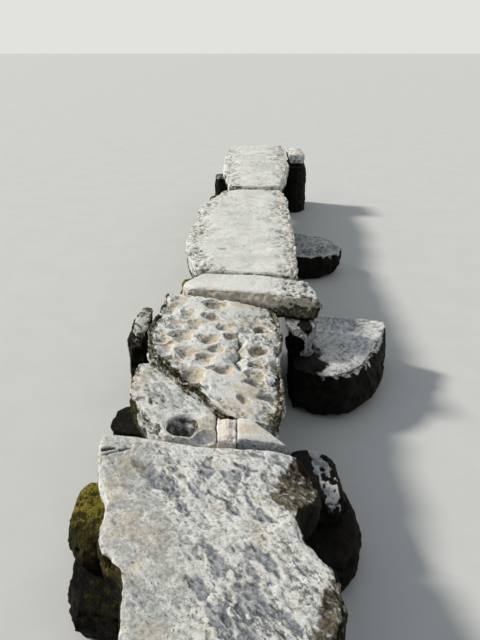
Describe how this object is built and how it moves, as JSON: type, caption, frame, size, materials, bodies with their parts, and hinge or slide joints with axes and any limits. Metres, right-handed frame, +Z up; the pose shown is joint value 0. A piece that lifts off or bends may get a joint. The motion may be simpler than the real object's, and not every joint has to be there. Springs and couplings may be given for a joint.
{
  "type": "stone clapper bridge",
  "caption": "Low clapper footbridge of big worn limestone slabs laid end to end on dry boulder piers, with pitted and hollowed faces.",
  "frame": {"origin": "middle of the whole bridge's box, at the water line that the piers stand at", "axes": "+Y along the walkway towards the far bank, +X towards the side of the two outlying boulders, +Z up"},
  "size_m": [1.6027, 8.145, 0.6649],
  "materials": {
    "pale_limestone": "sun-bleached and foot-worn, pitted, with blue-grey worn zones and ochre scars",
    "cream_limestone": "smooth cream bed with tan broken edges",
    "lime_mortar": "pinkish sanded lime mortar",
    "grey_limestone": "rough broken limestone in the shade of the deck",
    "outlying_limestone": "pale pitted top over algae-dark wet sides",
    "mossy_limestone": "limestone under olive moss and black algae",
    "wet_limestone": "dark wet limestone with brown algae"
  },
  "bodies": {
    "root": {"near_slab": "pale_limestone", "hollowed_slab": "pale_limestone", "pitted_slab": "pale_limestone", "far_slab": "pale_limestone", "end_slab": "pale_limestone", "bank_slab": "pale_limestone", "pier1_pale_stone": "pale_limestone", "cross_slab": "cream_limestone", "wedge_stone": "cream_limestone", "mortar_joint": "lime_mortar", "near_abutment_cap": "grey_limestone", "pier1_near_bearer": "grey_limestone", "upright_stone": "grey_limestone", "pier2_pitted_bearer": "grey_limestone", "pier2_cross_bearer": "grey_limestone", "pier2_far_bearer": "grey_limestone", "outlying_bearer": "grey_limestone", "pier3_far_bearer": "grey_limestone", "pier3_end_bearer": "grey_limestone", "far_abutment_cap": "grey_limestone", "cutwater_boulder": "outlying_limestone", "outlying_boulder": "outlying_limestone", "pier1_left_boulder": "mossy_limestone", "pier1_back_stone": "mossy_limestone", "pier1_mossy_stone": "mossy_limestone", "pier1_hollowed_bearer": "mossy_limestone", "pier2_left_boulder": "mossy_limestone", "side_block": "mossy_limestone", "pier2_mossy_stone": "mossy_limestone", "pier3_left_boulder": "mossy_limestone", "pier3_left_stone": "mossy_limestone", "revetment_stone": "mossy_limestone", "bank_stone": "mossy_limestone", "near_abutment_left": "wet_limestone", "near_abutment_right": "wet_limestone", "near_abutment_toe": "wet_limestone", "pier1_core": "wet_limestone", "pier1_right_boulder": "wet_limestone", "pier1_wedge_packing": "wet_limestone", "pier1_pitted_bearer": "wet_limestone", "pier2_core": "wet_limestone", "pier3_right_boulder": "wet_limestone", "far_abutment_left": "wet_limestone", "far_abutment_right": "wet_limestone"}
  },
  "joints": []
}
